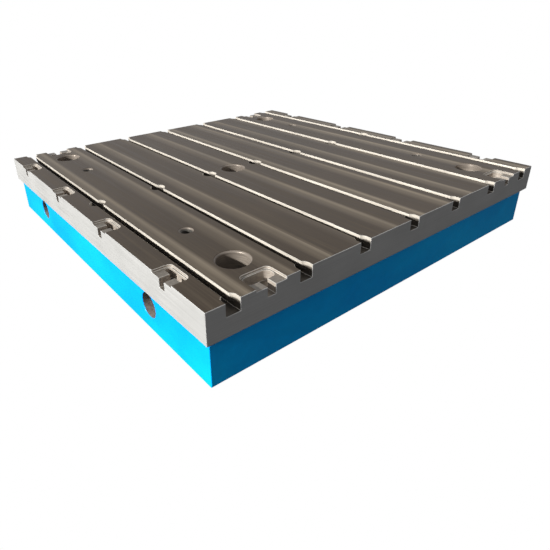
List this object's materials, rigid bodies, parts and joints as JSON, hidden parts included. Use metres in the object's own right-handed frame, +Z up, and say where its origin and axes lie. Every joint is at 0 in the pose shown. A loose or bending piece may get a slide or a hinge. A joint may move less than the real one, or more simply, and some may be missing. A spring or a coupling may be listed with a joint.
{
  "type": "t-slotted floor plate",
  "caption": "Square cast-iron floor plate with parallel T-slots, joining pockets on all edges, anchor and lifting holes, painted ribbed base and levelling screws.",
  "frame": {"origin": "middle of the underside, in the plane of the skirt's lower edge", "axes": "+Z up to the working surface; +Y along the T-slots; +X across them, with the single middle anchor hole at X = -150 mm"},
  "size_m": [2, 2, 0.3],
  "materials": {
    "machined_iron": "fine-milled, semi-bright, with faint pass lines along the slots",
    "machined_edge": "milled, matt",
    "blue_paint": "glossy enamel over sand-cast iron",
    "rough_casting": "sand-cast with red-brown primer",
    "bright_steel": "turned",
    "blackened_steel": "oil-blackened"
  },
  "bodies": {
    "plate": {"deck_land_1": "machined_iron", "deck_land_2": "machined_iron", "deck_land_3": "machined_iron", "deck_land_4_front_left": "machined_iron", "deck_land_4_front_right": "machined_iron", "deck_land_4_back_left": "machined_iron", "deck_land_4_back_right": "machined_iron", "deck_land_5": "machined_iron", "deck_land_6": "machined_iron", "deck_land_7": "machined_iron", "deck_land_8": "machined_iron", "rim_front": "machined_edge", "skirt_front": "blue_paint", "rim_right": "machined_edge", "skirt_right": "blue_paint", "rim_back": "machined_edge", "skirt_back": "blue_paint", "rim_left": "machined_edge", "skirt_left": "blue_paint", "long_rib_1": "rough_casting", "long_rib_2": "rough_casting", "long_rib_3": "rough_casting", "long_rib_4": "rough_casting", "long_rib_5": "rough_casting", "cross_rib_1": "rough_casting", "cross_rib_2": "rough_casting", "cross_rib_3": "rough_casting", "cross_rib_4": "rough_casting", "lifting_boss_left_1": "rough_casting", "lifting_boss_left_2": "rough_casting", "lifting_boss_right_1": "rough_casting", "lifting_boss_right_2": "rough_casting", "anchor_boss_1": "rough_casting", "anchor_boss_2": "rough_casting", "anchor_boss_3": "rough_casting", "anchor_boss_4": "rough_casting", "anchor_boss_5": "rough_casting", "lock_nut_1": "blackened_steel", "lock_nut_2": "blackened_steel", "lock_nut_3": "blackened_steel", "lock_nut_4": "blackened_steel", "lock_nut_5": "blackened_steel"},
    "foot_1": {"foot_pad_1": "bright_steel"},
    "screw_1": {"levelling_screw_1": "bright_steel"},
    "foot_2": {"foot_pad_2": "bright_steel"},
    "screw_2": {"levelling_screw_2": "bright_steel"},
    "foot_3": {"foot_pad_3": "bright_steel"},
    "screw_3": {"levelling_screw_3": "bright_steel"},
    "foot_4": {"foot_pad_4": "bright_steel"},
    "screw_4": {"levelling_screw_4": "bright_steel"},
    "foot_5": {"foot_pad_5": "bright_steel"},
    "screw_5": {"levelling_screw_5": "bright_steel"}
  },
  "joints": [
    {"name": "foot_travel_1", "type": "slide", "parent": "plate", "child": "foot_1", "axis": [0, 0, -1], "range_m": [0, 0.0241]},
    {"name": "screw_turn_1", "type": "hinge", "parent": "foot_1", "child": "screw_1", "pos_m": [-0.75, -0.8, 0.1], "axis": [0, 0, -1], "range_deg": [0, 1440]},
    {"name": "foot_travel_2", "type": "slide", "parent": "plate", "child": "foot_2", "axis": [0, 0, -1], "range_m": [0, 0.0241]},
    {"name": "screw_turn_2", "type": "hinge", "parent": "foot_2", "child": "screw_2", "pos_m": [0.75, -0.8, 0.1], "axis": [0, 0, -1], "range_deg": [0, 1440]},
    {"name": "foot_travel_3", "type": "slide", "parent": "plate", "child": "foot_3", "axis": [0, 0, -1], "range_m": [0, 0.0241]},
    {"name": "screw_turn_3", "type": "hinge", "parent": "foot_3", "child": "screw_3", "pos_m": [-0.75, 0.8, 0.1], "axis": [0, 0, -1], "range_deg": [0, 1440]},
    {"name": "foot_travel_4", "type": "slide", "parent": "plate", "child": "foot_4", "axis": [0, 0, -1], "range_m": [0, 0.0241]},
    {"name": "screw_turn_4", "type": "hinge", "parent": "foot_4", "child": "screw_4", "pos_m": [0.75, 0.8, 0.1], "axis": [0, 0, -1], "range_deg": [0, 1440]},
    {"name": "foot_travel_5", "type": "slide", "parent": "plate", "child": "foot_5", "axis": [0, 0, -1], "range_m": [0, 0.0241]},
    {"name": "screw_turn_5", "type": "hinge", "parent": "foot_5", "child": "screw_5", "pos_m": [-0.15, 0, 0.1], "axis": [0, 0, -1], "range_deg": [0, 1440]}
  ],
  "couplings": [
    {"joint": "foot_travel_1", "follows": "screw_turn_1", "m_per_rad": 0.00095493},
    {"joint": "foot_travel_2", "follows": "screw_turn_2", "m_per_rad": 0.00095493},
    {"joint": "foot_travel_3", "follows": "screw_turn_3", "m_per_rad": 0.00095493},
    {"joint": "foot_travel_4", "follows": "screw_turn_4", "m_per_rad": 0.00095493},
    {"joint": "foot_travel_5", "follows": "screw_turn_5", "m_per_rad": 0.00095493}
  ]
}
